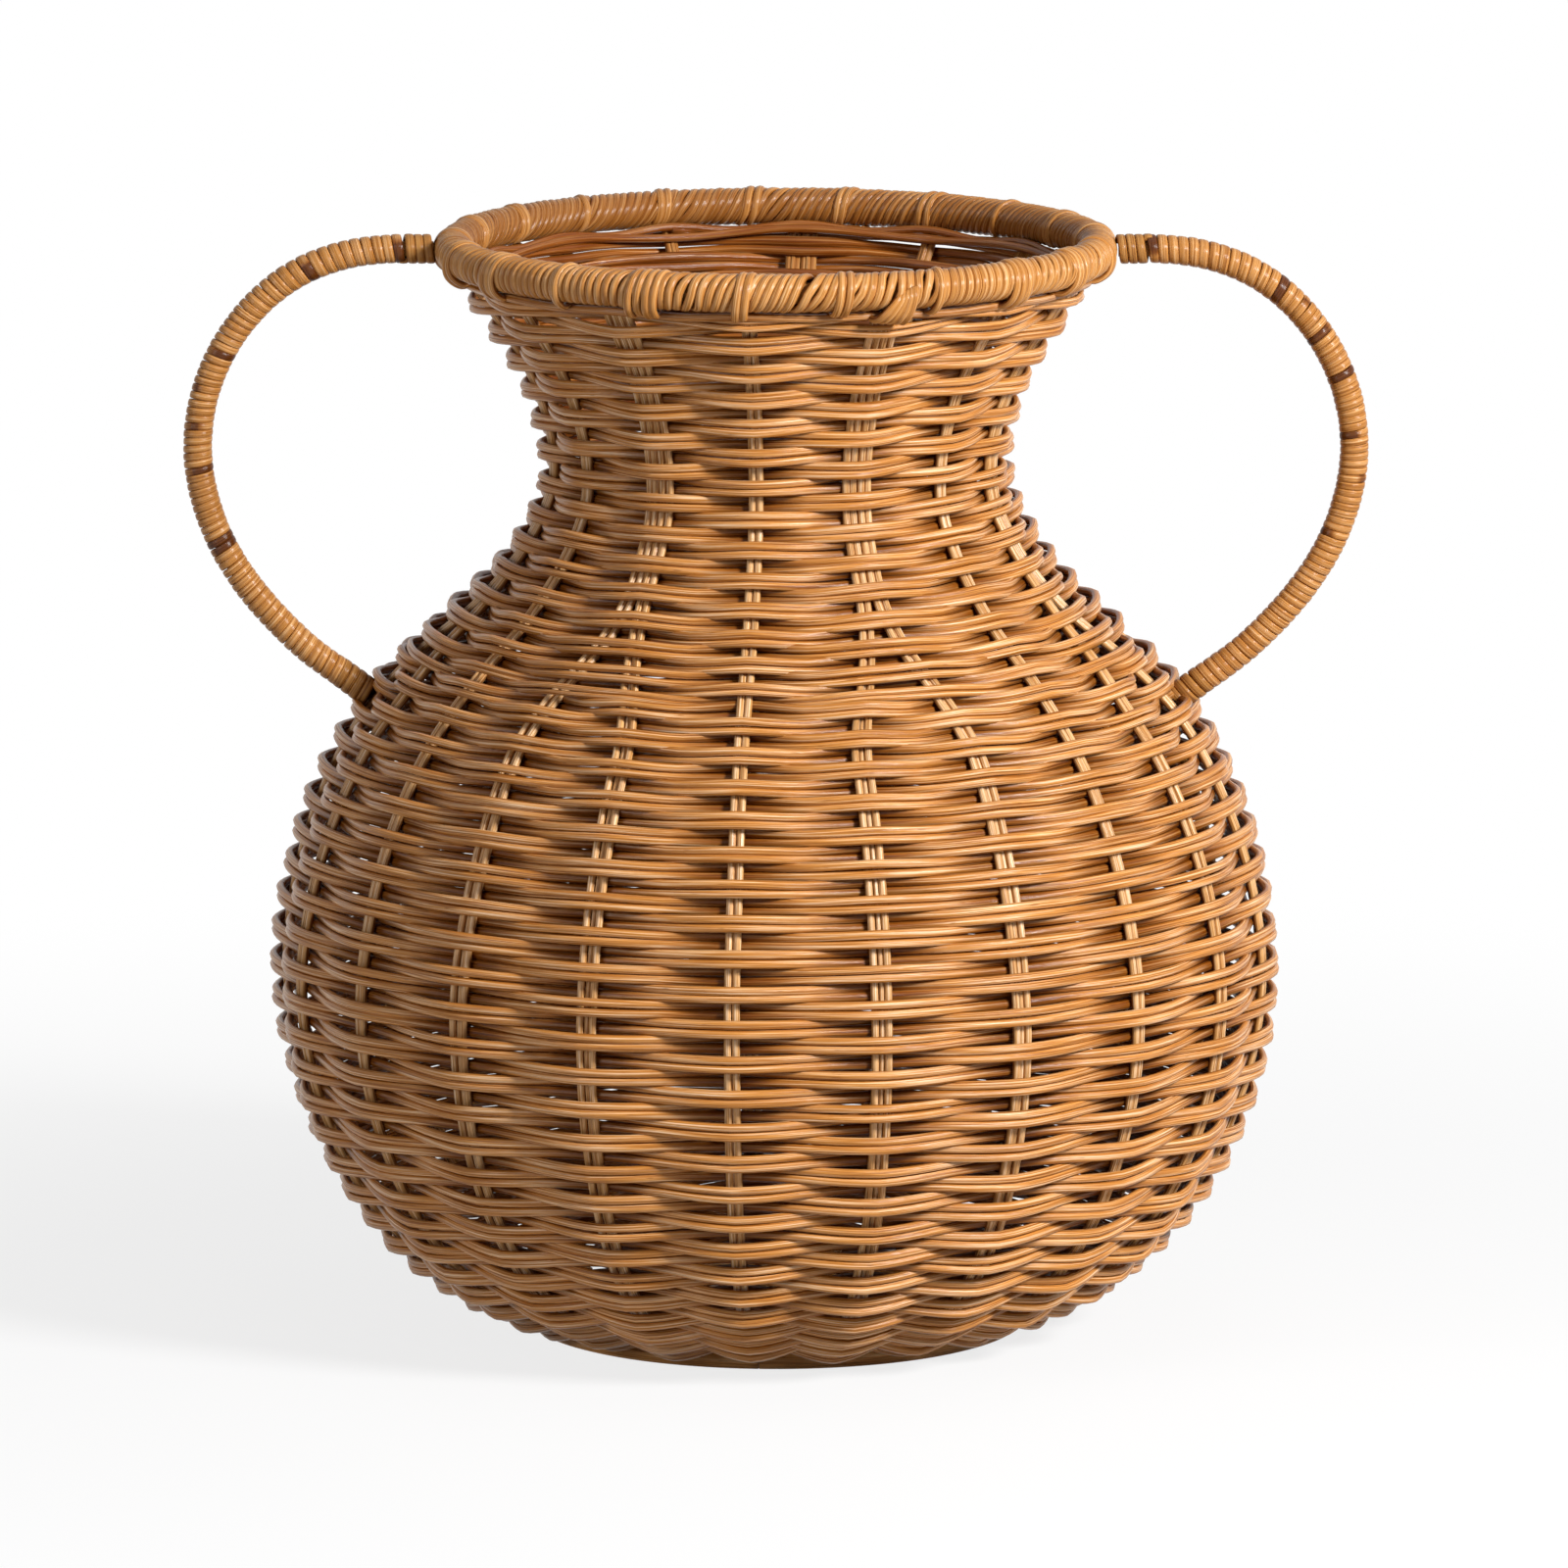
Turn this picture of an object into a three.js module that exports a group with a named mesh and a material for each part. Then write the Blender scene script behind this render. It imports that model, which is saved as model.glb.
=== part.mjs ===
// A two-handled planter basket woven from rattan rods, standing upright.
// Millimetres, +Z up, front at -Y, handles at -X and +X, floor at z = 0 under the middle of the mouth.
// Upright stakes carry everything: they start on the foot hoop, follow the belly and the neck,
// and end under the rim hoop. Weavers wind round the stakes, rows of rod pairs in front and behind.
import * as THREE from "three";

// Rods, and the gaps that the pieces keep
const stakeWidth = 5;
const stakeThickness = 2.5;
const weaverThickness = 2.6;
const rowGap = 0.6;
const weaveGap = 0.55;
const seatGap = 0.35;
const endGap = 0.8;

// Foot hoop
const footRadius = 89;
const footWidth = 6.6;
const footHeight = 6.2;
const footEase = 1.1;

// Middle surface of the wall, which the stakes follow
const stakeSeatInset = 5.5;
const bellyRadius = 175.2;
const bellyHeight = 133;
const neckRadius = 80.2;
const neckHeight = 312;

// Rim: a thick rod bent to a hoop, wrapped with bundles of rods
const rimRadius = 114.4;
const rimHeight = 388;
const rimRodRadius = 4;
const rimWrapThickness = 1.9;
const rimWrapEdgeGap = 1.4;
const rimLayGap = 0.6;

// Handles: a bent rod wrapped with cane, lashed at both ends
const handleReach = 205.8;
const handleFootHeight = 226;
const handleApproach = 32;
const handleRodRadius = 3;
const handleWrapThickness = 1;
const handleWrapEdgeGap = 0.9;
const handleLayGap = 0.55;
const lashingWidth = 3;
const lashingThickness = 1.8;
const lashingEdgeGap = 0.6;

// Base inside the foot hoop
const baseStickRadius = 1.45;
const baseStickGap = 0.7;
const baseWeaverThickness = 2.4;
const baseWeaveInnerRadius = 24;
const baseFanRadius = 22;

// Counts
const sectors = 7;
const bellyTurns = 48;
const neckTurns = 14;
const bellyWeaverNodes = 12;
const neckWeaverNodes = 3;
const rimWrapTurns = 21;
const handleWrapTurns = 24;
const lashingTurns = 2;
const baseTurns = 4;
const lapSteps = 8;
const handleLapSteps = 6;
const hoopSteps = 42;
const handleSteps = 32;

// The wall's outline, from the foot to the belly, the belly to the neck and the neck to the rim.
// Each pair is a share of the way outwards or inwards and a share of the way up.
const footToBellyShares = [
  [0.09, 0.01],
  [0.245, 0.053],
  [0.42, 0.122],
  [0.59, 0.229],
  [0.747, 0.372],
  [0.88, 0.558],
  [0.967, 0.762],
];
const bellyToNeckShares = [
  [0.041, 0.168],
  [0.137, 0.33],
  [0.291, 0.486],
  [0.512, 0.62],
  [0.755, 0.739],
  [0.93, 0.866],
  [1, 0.955],
];
const neckToRimShares = [
  [0, 0.108],
  [0.15, 0.36],
];
// Where the forked stakes draw together, as shares of the wall's length from foot to rim
const forkStartShare = 0.585;
const forkEndShare = 0.76;
// The handle's bend. Each pair is a share of the way out and a share of the way up: for the upper
// part out from the rim and up from the foot, for the lower part from where the foot comes in.
const handleUpperShares = [
  [0.24, 1],
  [0.411, 0.988],
  [0.592, 0.951],
  [0.751, 0.886],
  [0.885, 0.791],
  [0.97, 0.681],
  [1, 0.568],
];
const handleLowerShares = [
  [0.953, 0.391],
  [0.789, 0.265],
  [0.499, 0.141],
];
// The rods of a pair start and end thin, as a share of a whole row
const firstRowShare = 0.2;
const lastRowShare = 0.25;

const turn = 2 * Math.PI;
const firstStakeAngle = THREE.MathUtils.degToRad(-5);
const startSector = 4;

const material = (name, colour, roughness) =>
  new THREE.MeshStandardMaterial({ name, color: colour, roughness, metalness: 0 });
const stakeRattan = material("stake_rattan", 0xa8743c, 0.6);
const weaverRattan = material("weaver_rattan", 0xb07a42, 0.5);
const wrapRattan = material("wrap_rattan", 0xbd8748, 0.45);
const coreRattan = material("core_rattan", 0x8a5a2c, 0.6);
const darkLashing = material("dark_lashing", 0x5a3418, 0.6);

const basket = new THREE.Group();

function addPiece(name, geometry, finish) {
  const piece = new THREE.Mesh(geometry, finish);
  piece.name = name;
  basket.add(piece);
}

// A closed solid through a row of like rings of points, with flat ends.
function solidThrough(rings) {
  const sides = rings[0].length;
  const last = (rings.length - 1) * sides;
  const faces = [];
  for (let ring = 0; ring + 1 < rings.length; ring += 1) {
    for (let side = 0; side < sides; side += 1) {
      const a = ring * sides + side;
      const b = ring * sides + ((side + 1) % sides);
      faces.push(a, b, b + sides, a, b + sides, a + sides);
    }
  }
  for (let side = 1; side + 1 < sides; side += 1) {
    faces.push(0, side + 1, side, last, last + side, last + side + 1);
  }
  const points = rings.flat();
  let volume = 0;
  for (let face = 0; face < faces.length; face += 3) {
    const [a, b, c] = faces.slice(face, face + 3).map((corner) => points[corner]);
    volume += a.dot(b.clone().cross(c));
  }
  if (volume < 0) faces.reverse();
  const geometry = new THREE.BufferGeometry().setFromPoints(points);
  geometry.setIndex(faces);
  geometry.computeVertexNormals();
  return geometry;
}

const outwards = (angle) => new THREE.Vector3(Math.sin(angle), -Math.cos(angle), 0);
const sideways = (angle) => new THREE.Vector3(Math.cos(angle), Math.sin(angle), 0);
const mix = THREE.MathUtils.lerp;

// The wall's middle surface: knots from the foot to the rim, with the length up to each.
const rimOuter = (rimRodRadius + rimLayGap) / Math.cos(turn / 2 / lapSteps) + rimWrapThickness;
const stakeSeat = new THREE.Vector2(
  footRadius - stakeSeatInset,
  footHeight + seatGap + stakeThickness / 2,
);
const belly = new THREE.Vector2(bellyRadius, bellyHeight);
const neck = new THREE.Vector2(neckRadius, neckHeight);
const rim = new THREE.Vector2(rimRadius, rimHeight);
const between = (from, to) => ([across, up]) =>
  new THREE.Vector2(mix(from.x, to.x, across), mix(from.y, to.y, up));
const upperNeck = between(neck, rim)(neckToRimShares.at(-1));
const stakeTop = upperNeck.clone().sub(rim).setLength(rimOuter + seatGap).add(rim);
const knots = [
  stakeSeat,
  ...footToBellyShares.map(between(stakeSeat, belly)),
  belly,
  ...bellyToNeckShares.map(between(belly, neck)),
  ...neckToRimShares.map(between(neck, rim)),
  stakeTop,
];
const levels = [0];
for (let knot = 1; knot < knots.length; knot += 1) {
  levels.push(levels[knot - 1] + knots[knot].distanceTo(knots[knot - 1]));
}
const wallLength = levels.at(-1);
const forkStart = forkStartShare * wallLength;
const forkEnd = forkEndShare * wallLength;
const normals = knots.map((knot, index) => {
  const before = knots[Math.max(index - 1, 0)];
  const after = knots[Math.min(index + 1, knots.length - 1)];
  const below = index ? knot.clone().sub(before).normalize() : new THREE.Vector2();
  const above = after === knot ? new THREE.Vector2() : after.clone().sub(knot).normalize();
  const along = below.add(above).normalize();
  return new THREE.Vector2(along.y, -along.x);
});
// Half the angle between the two branches of a forked stake at each knot
const spreads = knots.map((knot, index) => {
  const together = (stakeWidth + weaveGap) / 2 / knot.x;
  const apart = turn / sectors / 6;
  return mix(apart, together, THREE.MathUtils.smoothstep(levels[index], forkStart, forkEnd));
});

function wallAt(level) {
  let knot = 0;
  while (knot + 2 < levels.length && levels[knot + 1] < level) knot += 1;
  const share = (level - levels[knot]) / (levels[knot + 1] - levels[knot]);
  return {
    place: knots[knot].clone().lerp(knots[knot + 1], share),
    normal: normals[knot].clone().lerp(normals[knot + 1], share).normalize(),
    spread: mix(spreads[knot], spreads[knot + 1], share),
  };
}

// A point beside the wall: so far out along its normal, so far up along its slope.
function besideWall(angle, wall, out, up) {
  const radius = wall.place.x + wall.normal.x * out - wall.normal.y * up;
  const height = wall.place.y + wall.normal.y * out + wall.normal.x * up;
  return outwards(angle).multiplyScalar(radius).setZ(height);
}

// Stakes: each sector has a plain one (member 0) and the two branches of a forked one.
const members = 3;
const stakeCount = sectors * members;

function stakeAngle(index, spread) {
  const sector = Math.floor(index / members);
  const member = index - sector * members;
  const plain = firstStakeAngle + (sector * turn) / sectors;
  if (member === 0) return plain;
  return plain + turn / sectors / 2 + (member === 1 ? -spread : spread);
}

for (let stake = 0; stake < stakeCount; stake += 1) {
  const rings = knots.map((place, knot) => {
    const wall = { place, normal: normals[knot] };
    const angle = stakeAngle(stake, spreads[knot]);
    const side = sideways(angle).multiplyScalar(stakeWidth / 2);
    const outer = besideWall(angle, wall, stakeThickness / 2, 0);
    const inner = besideWall(angle, wall, -stakeThickness / 2, 0);
    return [
      outer.clone().sub(side),
      outer.clone().add(side),
      inner.clone().add(side),
      inner.clone().sub(side),
    ];
  });
  addPiece(`stake_${String(stake + 1).padStart(2, "0")}`, solidThrough(rings), stakeRattan);
}

// Weavers. Rows are counted from the bottom of the weaving; one strand winds up the belly, and
// two strands chase each other up the neck, because the neck has an even number of stake groups.
const weaveStart = stakeSeatInset + rowGap + seatGap;
const weaveEnd = wallLength - stakeThickness;
const rowCount = firstRowShare + bellyTurns + 2 * (neckTurns - 1) + 2 * lastRowShare;
const rowPitch = (weaveEnd - weaveStart) / rowCount;
const firstCrossing = startSector * members;
const touching = (stakeThickness + weaverThickness) / 2 + weaveGap;

function bellyRow(turns) {
  if (turns < 1) return [firstRowShare * turns, mix(firstRowShare, 1, turns)];
  return [turns - 1 + firstRowShare, 1];
}

function neckRow(turns, strand) {
  const base = bellyTurns + firstRowShare;
  let height = 1;
  if (turns < 1) height = (1 + turns) / 2;
  if (turns > neckTurns - 1) height = mix(1, lastRowShare, turns - neckTurns + 1);
  const under = turns < 1 ? base - 1 + turns : base + 2 * (turns - 1);
  return [under + strand * height, height];
}

// Places where a strand passes the stakes from crossing first to crossing last.
// On the drawn-in part of the neck the two branches of a fork are passed as one.
function crossings(first, last, rowAt, signAt) {
  const levelAt = (count) => {
    const [under, height] = rowAt(count / stakeCount);
    return weaveStart + rowPitch * (under + height / 2);
  };
  const places = [];
  for (let count = first; count <= last; count += 1) {
    const passed = firstCrossing + count;
    const stake = passed % stakeCount;
    const member = stake % members;
    const paired = member > 0 && levelAt(count - member + 1) > forkEnd;
    if (paired && member === 2 && count !== first) continue;
    const wall = wallAt(levelAt(count));
    const angle = stakeAngle(stake, paired ? 0 : wall.spread);
    places.push({
      angle: angle + turn * Math.floor(passed / stakeCount),
      wall,
      sign: signAt(count, member),
      halfWidth: paired ? stakeWidth + weaveGap / 2 : stakeWidth / 2,
      height: rowPitch * rowAt(count / stakeCount)[1] - rowGap,
    });
  }
  return places;
}

// A strand lifts off the wall's middle far enough to clear the whole width of a stake.
function liftAt(places, index) {
  const { angle, wall, sign, halfWidth } = places[index];
  let slope = 0;
  for (const other of [places[index - 1], places[index + 1]]) {
    if (!other || other.sign === sign) continue;
    const step = Math.abs(other.angle - angle);
    const bow = sign * wall.place.x * (1 - Math.cos(step));
    const reach = wall.place.x * Math.sin(step) - halfWidth;
    slope = Math.max(slope, (2 * touching + bow) / reach);
  }
  return sign * (touching + halfWidth * slope);
}

function addStrand(name, places) {
  const rings = places.map((place, index) => {
    const { wall, height } = place;
    const lift = liftAt(places, index);
    const nudge = endGap / 2 / wall.place.x;
    let { angle } = place;
    if (index === 0) angle += nudge;
    if (index === places.length - 1) angle -= nudge;
    return [
      besideWall(angle, wall, lift + weaverThickness / 2, 0),
      besideWall(angle, wall, lift - weaverThickness / 2, height / 2),
      besideWall(angle, wall, lift - weaverThickness / 2, -height / 2),
    ];
  });
  addPiece(name, solidThrough(rings), weaverRattan);
}

// Belly: with an odd number of stakes one strand passes each in front and behind by turns.
const crossingsPerBellyNode = (bellyTurns * stakeCount) / bellyWeaverNodes;
for (let node = 0; node < bellyWeaverNodes; node += 1) {
  const first = node * crossingsPerBellyNode;
  const last = first + crossingsPerBellyNode;
  const places = crossings(first, last, bellyRow, (count) => (count % 2 ? 1 : -1));
  addStrand(`belly_weaver_${String(node + 1).padStart(2, "0")}`, places);
}

// Neck: one strand stays behind the plain stakes, the other behind the forked ones.
for (let strand = 0; strand < 2; strand += 1) {
  const signAt = (count, member) => (member === 0 ? -1 : 1) * (strand === 0 ? 1 : -1);
  const rowAt = (turns) => neckRow(turns, strand);
  for (let node = 0; node < neckWeaverNodes; node += 1) {
    const cut = (part) => Math.round((neckTurns * part) / neckWeaverNodes) * stakeCount;
    const first = cut(node) + strand;
    const last = cut(node + 1) + (node + 1 < neckWeaverNodes ? strand : -strand);
    const places = crossings(first, last, rowAt, signAt);
    addStrand(`neck_weaver_${strand === 0 ? "a" : "b"}${node + 1}`, places);
  }
}

// Foot hoop: a flat-bottomed ring that the basket stands on, under the start of the stakes.
const footInner = footRadius - footWidth;
const footOutline = [
  [footInner, footEase],
  [footInner + footEase, 0],
  [footRadius - footEase, 0],
  [footRadius, footEase],
  [footRadius, footHeight],
  [footInner, footHeight],
  [footInner, footEase],
].map(([radius, height]) => new THREE.Vector2(radius, height));

function turned(outline, steps) {
  const geometry = new THREE.LatheGeometry(outline, steps);
  geometry.rotateX(turn / 4);
  return geometry;
}

addPiece("foot_hoop", turned(footOutline, hoopSteps), coreRattan);

// Rim hoop: the thick rod inside the rim wrapping.
const rimSection = [];
const rimSides = 6;
for (let side = 0; side <= rimSides; side += 1) {
  const around = (turn * side) / rimSides;
  const radius = rimRadius + rimRodRadius * Math.cos(around);
  rimSection.push(new THREE.Vector2(radius, rimHeight + rimRodRadius * Math.sin(around)));
}
addPiece("rim_hoop", turned(rimSection, hoopSteps), coreRattan);

// The least distance between one lap of a winding and the next, from points along its edges.
function leastGap(rings, lap) {
  const parts = 4;
  const fine = [];
  for (let ring = 0; ring + 1 < rings.length; ring += 1) {
    for (let part = 0; part < parts; part += 1) {
      fine.push(rings[ring].map((p, side) => p.clone().lerp(rings[ring + 1][side], part / parts)));
    }
  }
  let least = Infinity;
  fine.forEach((ring, index) => {
    const next = fine.slice(index + (lap * parts) / 2, index + (lap * parts * 3) / 2);
    for (const other of next.flat()) {
      for (const point of ring) least = Math.min(least, point.distanceTo(other));
    }
  });
  return least;
}

// Rim wrapping: one flat bundle of rods wound round the rim hoop, once for each stake.
const rimWrapInner = rimOuter - rimWrapThickness;
const rimWrapSteps = rimWrapTurns * lapSteps;
const rimWrapHalf = turn / rimWrapTurns / 2 - rimWrapEdgeGap / 2 / rimRadius;
const rimWrapSweep = rimWrapTurns * turn - endGap / rimWrapInner;
const rimWrapRings = [];
for (let step = 0; step <= rimWrapSteps; step += 1) {
  const around = (rimWrapSweep * step) / rimWrapSteps;
  const along = around / rimWrapTurns;
  const at = (offset, radius) =>
    outwards(along + offset)
      .multiplyScalar(rimRadius - radius * Math.cos(around))
      .setZ(rimHeight - radius * Math.sin(around));
  rimWrapRings.push([
    at(-rimWrapHalf, rimOuter),
    at(0, rimOuter),
    at(rimWrapHalf, rimOuter),
    at(rimWrapHalf, rimWrapInner),
    at(0, rimWrapInner),
    at(-rimWrapHalf, rimWrapInner),
  ]);
}
addPiece("rim_wrap", solidThrough(rimWrapRings), wrapRattan);
console.log("rim_wrap least gap to itself", leastGap(rimWrapRings, lapSteps).toFixed(2), "mm");

// How far the weaving stands out from the wall's middle, over a width beside the given angle.
function weaveReach(angle, level, halfWidth) {
  const wall = wallAt(level);
  const radius = wall.place.x;
  const angles = Array.from({ length: stakeCount }, (_, index) => stakeAngle(index, wall.spread));
  const ring = [angles.at(-1) - turn, ...angles, angles[0] + turn];
  const places = ring.map((place, index) => ({
    angle: place,
    wall,
    sign: index % 2 ? 1 : -1,
    halfWidth: stakeWidth / 2,
  }));
  const samples = 8;
  let reach = -Infinity;
  for (let sample = 0; sample <= samples; sample += 1) {
    const offset = mix(-halfWidth, halfWidth, sample / samples) / radius;
    const here = THREE.MathUtils.euclideanModulo(angle + offset - ring[0], turn) + ring[0];
    const next = ring.findIndex((place, index) => index > 0 && place >= here);
    for (const flip of [1, -1]) {
      const swapped = places.map((place) => ({ ...place, sign: place.sign * flip }));
      const r0 = radius + liftAt(swapped, next - 1);
      const r1 = radius + liftAt(swapped, next);
      const span = ring[next] - ring[next - 1];
      const across = r0 * Math.sin(here - ring[next - 1]) + r1 * Math.sin(ring[next] - here);
      reach = Math.max(reach, (r0 * r1 * Math.sin(span)) / across - radius);
    }
  }
  return reach + weaverThickness / 2;
}

// Handles: each rod springs from the rim, bows out and down, and is pushed against the shoulder.
const handleWrapInner = (handleRodRadius + handleLayGap) / Math.cos(turn / 2 / handleLapSteps);
const handleOuter = handleWrapInner + handleWrapThickness;
const aboveFoot = knots.findIndex((knot) => knot.y > handleFootHeight);
const belowFoot = knots[aboveFoot - 1];
const footShare = (handleFootHeight - belowFoot.y) / (knots[aboveFoot].y - belowFoot.y);
const handleFootLevel = mix(levels[aboveFoot - 1], levels[aboveFoot], footShare);

function handleRoute(side) {
  const wall = wallAt(handleFootLevel);
  const seat = weaveReach((side * turn) / 4, handleFootLevel, handleOuter) + seatGap;
  const away = (distance) => wall.place.clone().addScaledVector(wall.normal, distance);
  const start = rimRadius + rimOuter + seatGap;
  const inner = new THREE.Vector2(rimRadius, handleFootHeight);
  const reach = new THREE.Vector2(handleReach, rimHeight);
  const outline = [
    new THREE.Vector2(start, rimHeight),
    new THREE.Vector2(start + 2 * handleRodRadius, rimHeight),
    ...handleUpperShares.map(between(inner, reach)),
    ...handleLowerShares.map(between(away(handleApproach), reach)),
    away(handleApproach),
    away(seat + 2 * handleRodRadius),
    away(seat),
  ];
  const points = outline.map(({ x, y }) => new THREE.Vector3(side * x, 0, y));
  return new THREE.CatmullRomCurve3(points, false, "centripetal");
}

// A point beside the handle's middle line, so far along it, round it and off it.
function besideHandle(route, length, along, around, radius) {
  const share = THREE.MathUtils.clamp(along / length, 0, 1);
  const direction = route.getTangentAt(share);
  const flat = new THREE.Vector3(0, 1, 0);
  const away = direction.clone().cross(flat);
  return route
    .getPointAt(share)
    .addScaledVector(flat, radius * Math.cos(around))
    .addScaledVector(away, radius * Math.sin(around));
}

// A flat strand wound round the handle between two places along it.
function handleWinding(route, length, from, to, turns, edgeGap, inner, thickness) {
  const pitch = (to - from) / (turns + 1);
  const half = (pitch - edgeGap) / 2;
  const steps = turns * handleLapSteps;
  const rings = [];
  for (let step = 0; step <= steps; step += 1) {
    const around = (turn * step) / handleLapSteps;
    const along = from + pitch / 2 + (pitch * step) / handleLapSteps;
    rings.push([
      besideHandle(route, length, along - half, around, inner + thickness),
      besideHandle(route, length, along + half, around, inner + thickness),
      besideHandle(route, length, along + half, around, inner),
      besideHandle(route, length, along - half, around, inner),
    ]);
  }
  return rings;
}

for (const [side, name] of [
  [-1, "left"],
  [1, "right"],
]) {
  const route = handleRoute(side);
  const length = route.getLength();
  const lashing = (lashingTurns + 1) * (lashingWidth + lashingEdgeGap);
  const coreRings = [];
  const coreSides = 6;
  for (let step = 0; step <= handleSteps; step += 1) {
    const along = (length * step) / handleSteps;
    const corners = Array.from({ length: coreSides }, (_, corner) => (turn * corner) / coreSides);
    coreRings.push(
      corners.map((around) => besideHandle(route, length, along, around, handleRodRadius)),
    );
  }
  addPiece(`${name}_handle_rod`, solidThrough(coreRings), coreRattan);

  const wrapRings = handleWinding(
    route,
    length,
    lashing + endGap,
    length - lashing - endGap,
    handleWrapTurns,
    handleWrapEdgeGap,
    handleWrapInner,
    handleWrapThickness,
  );
  addPiece(`${name}_handle_wrap`, solidThrough(wrapRings), wrapRattan);
  const gap = leastGap(wrapRings, handleLapSteps).toFixed(2);
  console.log(`${name}_handle_wrap least gap to itself`, gap, "mm");

  for (const [end, from] of [
    ["top", seatGap],
    ["bottom", length - lashing - seatGap],
  ]) {
    const rings = handleWinding(
      route,
      length,
      from,
      from + lashing,
      lashingTurns,
      lashingEdgeGap,
      handleWrapInner,
      lashingThickness,
    );
    addPiece(`${name}_${end}_lashing`, solidThrough(rings), darkLashing);
    const lashingGap = leastGap(rings, handleLapSteps).toFixed(2);
    console.log(`${name}_${end}_lashing least gap to itself`, lashingGap, "mm");
  }
}

// Base sticks: three laid over three, fanned out to twelve spokes that end on the foot hoop.
const sticksEachWay = 3;
const spokeCount = 4 * sticksEachWay;
const baseHeight = footHeight + seatGap + baseStickRadius;
const spokeEnd = stakeSeat.x - seatGap;
const stickSpacing = 2 * baseStickRadius + baseStickGap;
const stickSides = 6;

for (let way = 0; way < 2; way += 1) {
  for (let stick = 0; stick < sticksEachWay; stick += 1) {
    const order = stick - (sticksEachWay - 1) / 2;
    const fan = (order * turn) / spokeCount;
    const crossing = (sticksEachWay * stickSpacing) / 2 + baseStickGap;
    const lift = (way === 0 ? 1 : -1) * (baseStickRadius + baseStickGap / 2);
    const half = [
      { radius: spokeEnd, angle: fan, heading: fan, height: baseHeight },
      { radius: baseFanRadius, angle: fan, heading: fan / 2, height: baseHeight },
      {
        radius: Math.hypot(crossing, order * stickSpacing),
        angle: Math.atan2(order * stickSpacing, crossing),
        heading: 0,
        height: baseHeight + lift,
      },
    ];
    const mirrored = half.map((place) => ({
      ...place,
      angle: turn / 2 - place.angle,
      heading: -place.heading,
    }));
    const rings = [...half, ...mirrored.reverse()].map(({ radius, angle, heading, height }) =>
      Array.from({ length: stickSides }, (_, side) => {
        const around = (turn * side) / stickSides;
        const quarter = (way * turn) / 4;
        return outwards(angle + quarter)
          .multiplyScalar(radius)
          .addScaledVector(sideways(heading + quarter), baseStickRadius * Math.cos(around))
          .setZ(height + baseStickRadius * Math.sin(around));
      }),
    );
    addPiece(`base_stick_${way * sticksEachWay + stick + 1}`, solidThrough(rings), stakeRattan);
  }
}

// Base weavers: two flat strands chase each other out from the crossed sticks to the foot hoop.
const baseRowEnd = footInner - endGap;
const baseRowPitch = (baseRowEnd - baseWeaveInnerRadius) / (2 * baseTurns + 1);
const baseTouching = baseStickRadius + baseWeaverThickness / 2 + weaveGap;

for (let strand = 0; strand < 2; strand += 1) {
  const rings = [];
  for (let count = 0; count <= baseTurns * spokeCount; count += 1) {
    const passed = count + (strand * spokeCount) / 2;
    const angle = (turn * passed) / spokeCount;
    const turns = count / spokeCount;
    const radius = baseWeaveInnerRadius + baseRowPitch * (2 * turns + 1 / 2);
    const over = (passed + strand) % 2 ? 1 : -1;
    const slope = (2 * baseTouching) / (radius * Math.sin(turn / spokeCount) - baseStickRadius);
    const height = baseHeight + over * (baseTouching + baseStickRadius * slope);
    const half = (baseRowPitch - rowGap) / 2;
    rings.push(
      [
        [radius + half, -baseWeaverThickness / 2],
        [radius - half, -baseWeaverThickness / 2],
        [radius, baseWeaverThickness / 2],
      ].map(([r, z]) => outwards(angle).multiplyScalar(r).setZ(height + z)),
    );
  }
  addPiece(`base_weaver_${strand + 1}`, solidThrough(rings), weaverRattan);
}

export default basket;
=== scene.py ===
# A two-handled planter basket woven from rattan rods, in the same frame as the solids: +Z up,
# front at -Y, handles at -X and +X. Lengths are in millimetres, and in metres for the stage, the
# lamps, the camera and the finished meshes.
import math

import bmesh
import bpy
import numpy as np
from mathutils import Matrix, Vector


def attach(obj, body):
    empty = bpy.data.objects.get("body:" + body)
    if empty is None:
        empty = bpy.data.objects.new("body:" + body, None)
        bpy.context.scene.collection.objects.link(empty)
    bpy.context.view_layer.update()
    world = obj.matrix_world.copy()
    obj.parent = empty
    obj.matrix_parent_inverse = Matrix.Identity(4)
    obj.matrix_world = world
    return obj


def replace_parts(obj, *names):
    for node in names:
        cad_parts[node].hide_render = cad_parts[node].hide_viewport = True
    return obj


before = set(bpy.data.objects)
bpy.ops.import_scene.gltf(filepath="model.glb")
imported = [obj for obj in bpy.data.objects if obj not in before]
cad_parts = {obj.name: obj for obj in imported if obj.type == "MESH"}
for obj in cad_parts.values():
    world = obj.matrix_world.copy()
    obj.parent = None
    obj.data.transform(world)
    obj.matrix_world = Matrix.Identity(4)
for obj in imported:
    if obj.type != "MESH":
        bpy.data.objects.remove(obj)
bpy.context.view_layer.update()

# Stakes: the uprights of the wall, each two peeled rods side by side with a thinner one between.
# They stand on the foot hoop and end under the rim hoop. Seven are plain, and seven fork on the
# shoulder into two looser branches, which makes 21 places on the belly and 14 groups on the neck.
turn = 2 * math.pi
# The gap that pieces keep where one is seated on another
seat_gap = 0.35
foot_radius = 89
foot_height = 6.2
rim_radius = 114.4
rim_height = 388
rim_outer = 6.88
seat_inset = 5.5
seat_lift = 1.6
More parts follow.
